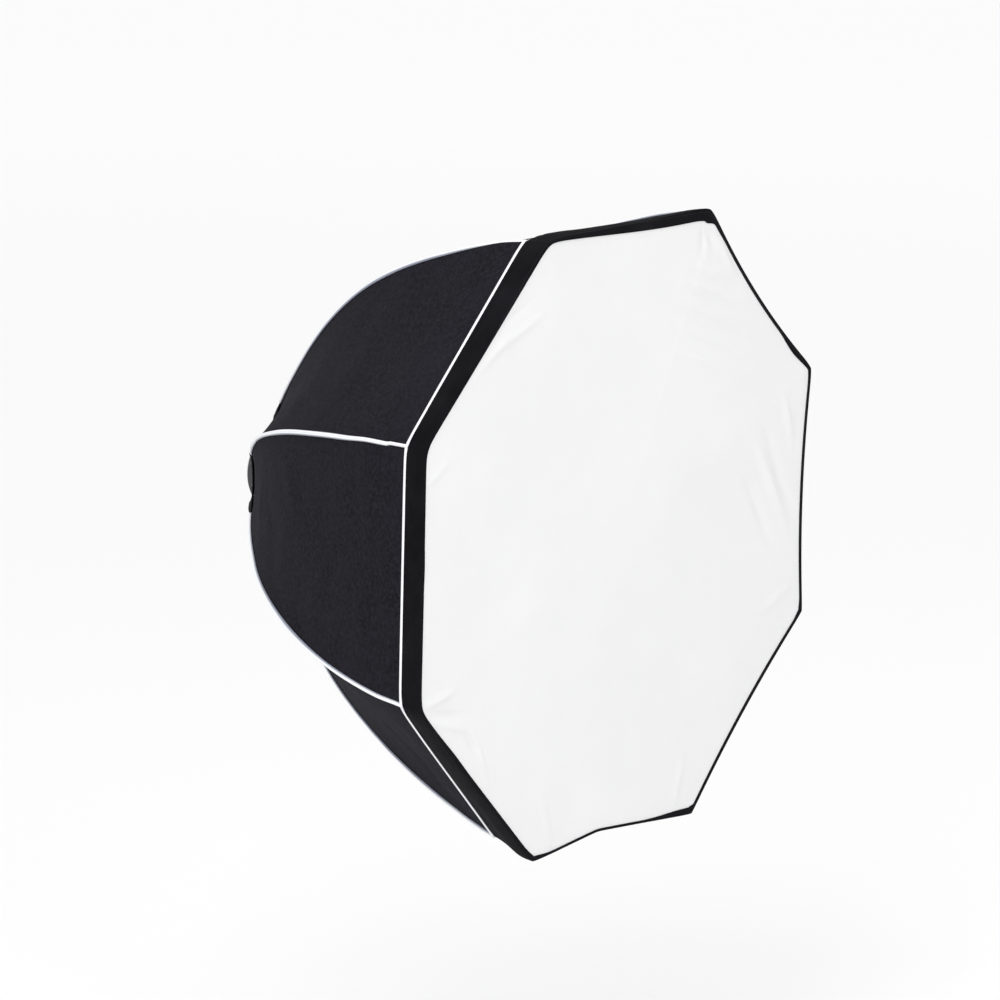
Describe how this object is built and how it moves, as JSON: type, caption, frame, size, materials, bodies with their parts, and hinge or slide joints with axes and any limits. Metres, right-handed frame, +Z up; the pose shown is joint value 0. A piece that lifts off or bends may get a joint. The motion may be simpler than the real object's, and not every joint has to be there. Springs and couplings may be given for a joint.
{
  "type": "studio softbox",
  "caption": "Deep eight-sided studio softbox with a rotating speed ring, hinged rods, cloth gores, a lip, an inner baffle and a front diffuser.",
  "frame": {"origin": "centre of the seat that meets the flash head, on the insert's axis", "axes": "-Y is the way the light leaves, +Z is up, +X is to the right seen from behind the flash"},
  "size_m": [0.9238, 0.71, 0.9238],
  "materials": {
    "shell_cloth": "fine black nylon twill",
    "lip_cloth": "dense black webbing",
    "white_tape": "white woven tape",
    "socket_alloy": "satin",
    "glass_fibre": "satin glass fibre",
    "cast_alloy": "satin cast",
    "plated_steel": "zinc plated",
    "nylon": "natural nylon",
    "ring_alloy": "black powder coat",
    "black_plastic": "moulded, satin",
    "cuff_cloth": "stiffened black nylon",
    "baffle_cloth": "thin white nylon",
    "black_elastic": "elastic webbing",
    "diffuser_cloth": "white diffusion nylon, very fine weave"
  },
  "bodies": {
    "insert": {"bayonet_insert": "cast_alloy", "bayonet_lugs": "cast_alloy", "glide_ring": "nylon", "retaining_plate": "cast_alloy", "plate_screws": "plated_steel"},
    "ring": {"rotating_ring": "ring_alloy", "hinge_pins": "plated_steel", "rear_collar": "cuff_cloth"},
    "brake": {"brake_screw": "plated_steel", "brake_knob": "black_plastic", "brake_pad": "nylon"},
    "rib_1": {"rod_socket_1": "socket_alloy", "rod_1": "glass_fibre", "rib_tape_1": "white_tape"},
    "rib_2": {"rod_socket_2": "socket_alloy", "rod_2": "glass_fibre", "rib_tape_2": "white_tape"},
    "rib_3": {"rod_socket_3": "socket_alloy", "rod_3": "glass_fibre", "rib_tape_3": "white_tape"},
    "rib_4": {"rod_socket_4": "socket_alloy", "rod_4": "glass_fibre", "rib_tape_4": "white_tape"},
    "rib_5": {"rod_socket_5": "socket_alloy", "rod_5": "glass_fibre", "rib_tape_5": "white_tape"},
    "rib_6": {"rod_socket_6": "socket_alloy", "rod_6": "glass_fibre", "rib_tape_6": "white_tape"},
    "rib_7": {"rod_socket_7": "socket_alloy", "rod_7": "glass_fibre", "rib_tape_7": "white_tape"},
    "rib_8": {"rod_socket_8": "socket_alloy", "rod_8": "glass_fibre", "rib_tape_8": "white_tape"},
    "panel_1": {"gore_1": "shell_cloth", "lip_1": "lip_cloth"},
    "panel_2": {"gore_2": "shell_cloth", "lip_2": "lip_cloth"},
    "panel_3": {"gore_3": "shell_cloth", "lip_3": "lip_cloth"},
    "panel_4": {"gore_4": "shell_cloth", "lip_4": "lip_cloth"},
    "panel_5": {"gore_5": "shell_cloth", "lip_5": "lip_cloth"},
    "panel_6": {"gore_6": "shell_cloth", "lip_6": "lip_cloth"},
    "panel_7": {"gore_7": "shell_cloth", "lip_7": "lip_cloth"},
    "panel_8": {"gore_8": "shell_cloth", "lip_8": "lip_cloth"},
    "baffle": {"inner_baffle": "baffle_cloth", "baffle_tabs": "black_elastic"},
    "diffuser": {"front_diffuser": "diffuser_cloth"}
  },
  "joints": [
    {"name": "ring_turn", "type": "hinge", "parent": "insert", "child": "ring", "pos_m": [0, -0.015, 0], "axis": [0, -1, 0], "continuous": true},
    {"name": "brake_turn", "type": "hinge", "parent": "ring", "child": "brake", "pos_m": [0.0495, -0.014, -0.0495], "axis": [0.7071, 0, -0.7071], "range_deg": [0, 270]},
    {"name": "frame_fold", "type": "hinge", "parent": "ring", "child": "rib_1", "pos_m": [0.06632, -0.02779, 0.02747], "axis": [0.3827, 0, -0.9239], "range_deg": [0, 32], "deforming": ["gore_1", "gore_2", "gore_3", "gore_4", "gore_5", "gore_6", "gore_7", "gore_8", "lip_1", "lip_2", "lip_3", "lip_4", "lip_5", "lip_6", "lip_7", "lip_8", "baffle_tabs"]},
    {"name": "rib_fold_2", "type": "hinge", "parent": "ring", "child": "rib_2", "pos_m": [0.02747, -0.02779, 0.06632], "axis": [0.9239, 0, -0.3827], "range_deg": [0, 32]},
    {"name": "rib_fold_3", "type": "hinge", "parent": "ring", "child": "rib_3", "pos_m": [-0.02747, -0.02779, 0.06632], "axis": [0.9239, 0, 0.3827], "range_deg": [0, 32]},
    {"name": "rib_fold_4", "type": "hinge", "parent": "ring", "child": "rib_4", "pos_m": [-0.06632, -0.02779, 0.02747], "axis": [0.3827, 0, 0.9239], "range_deg": [0, 32]},
    {"name": "rib_fold_5", "type": "hinge", "parent": "ring", "child": "rib_5", "pos_m": [-0.06632, -0.02779, -0.02747], "axis": [-0.3827, 0, 0.9239], "range_deg": [0, 32]},
    {"name": "rib_fold_6", "type": "hinge", "parent": "ring", "child": "rib_6", "pos_m": [-0.02747, -0.02779, -0.06632], "axis": [-0.9239, 0, 0.3827], "range_deg": [0, 32]},
    {"name": "rib_fold_7", "type": "hinge", "parent": "ring", "child": "rib_7", "pos_m": [0.02747, -0.02779, -0.06632], "axis": [-0.9239, 0, -0.3827], "range_deg": [0, 32]},
    {"name": "rib_fold_8", "type": "hinge", "parent": "ring", "child": "rib_8", "pos_m": [0.06632, -0.02779, -0.02747], "axis": [-0.3827, 0, -0.9239], "range_deg": [0, 32]},
    {"name": "panel_fold_1", "type": "hinge", "parent": "rib_1", "child": "panel_1", "pos_m": [0.05495, -0.02779, 0.05495], "axis": [0.6835, 0.2561, 0.6835], "range_deg": [0, 24.23]},
    {"name": "panel_fold_2", "type": "hinge", "parent": "rib_2", "child": "panel_2", "pos_m": [0, -0.02779, 0.0777], "axis": [0, 0.2561, 0.9667], "range_deg": [0, 24.23]},
    {"name": "panel_fold_3", "type": "hinge", "parent": "rib_3", "child": "panel_3", "pos_m": [-0.05495, -0.02779, 0.05495], "axis": [-0.6835, 0.2561, 0.6835], "range_deg": [0, 24.23]},
    {"name": "panel_fold_4", "type": "hinge", "parent": "rib_4", "child": "panel_4", "pos_m": [-0.0777, -0.02779, 0], "axis": [-0.9667, 0.2561, 0], "range_deg": [0, 24.23]},
    {"name": "panel_fold_5", "type": "hinge", "parent": "rib_5", "child": "panel_5", "pos_m": [-0.05495, -0.02779, -0.05495], "axis": [-0.6835, 0.2561, -0.6835], "range_deg": [0, 24.23]},
    {"name": "panel_fold_6", "type": "hinge", "parent": "rib_6", "child": "panel_6", "pos_m": [0, -0.02779, -0.0777], "axis": [0, 0.2561, -0.9667], "range_deg": [0, 24.23]},
    {"name": "panel_fold_7", "type": "hinge", "parent": "rib_7", "child": "panel_7", "pos_m": [0.05495, -0.02779, -0.05495], "axis": [0.6835, 0.2561, -0.6835], "range_deg": [0, 24.23]},
    {"name": "panel_fold_8", "type": "hinge", "parent": "rib_8", "child": "panel_8", "pos_m": [0.0777, -0.02779, 0], "axis": [0.9667, 0.2561, 0], "range_deg": [0, 24.23]},
    {"name": "baffle_removal", "type": "slide", "parent": "ring", "child": "baffle", "axis": [0, -1, 0], "range_m": [0, 1.0058]},
    {"name": "diffuser_removal", "type": "slide", "parent": "baffle", "child": "diffuser", "axis": [0, -1, 0], "range_m": [0, 0.3]}
  ],
  "couplings": [
    {"joint": "rib_fold_2", "follows": "frame_fold", "ratio": 1},
    {"joint": "rib_fold_3", "follows": "frame_fold", "ratio": 1},
    {"joint": "rib_fold_4", "follows": "frame_fold", "ratio": 1},
    {"joint": "rib_fold_5", "follows": "frame_fold", "ratio": 1},
    {"joint": "rib_fold_6", "follows": "frame_fold", "ratio": 1},
    {"joint": "rib_fold_7", "follows": "frame_fold", "ratio": 1},
    {"joint": "rib_fold_8", "follows": "frame_fold", "ratio": 1},
    {"joint": "panel_fold_1", "follows": "frame_fold", "ratio": 0.75687},
    {"joint": "panel_fold_2", "follows": "frame_fold", "ratio": 0.75687},
    {"joint": "panel_fold_3", "follows": "frame_fold", "ratio": 0.75687},
    {"joint": "panel_fold_4", "follows": "frame_fold", "ratio": 0.75687},
    {"joint": "panel_fold_5", "follows": "frame_fold", "ratio": 0.75687},
    {"joint": "panel_fold_6", "follows": "frame_fold", "ratio": 0.75687},
    {"joint": "panel_fold_7", "follows": "frame_fold", "ratio": 0.75687},
    {"joint": "panel_fold_8", "follows": "frame_fold", "ratio": 0.75687},
    {"joint": "baffle_removal", "follows": "frame_fold", "m_per_rad": 1.8}
  ]
}
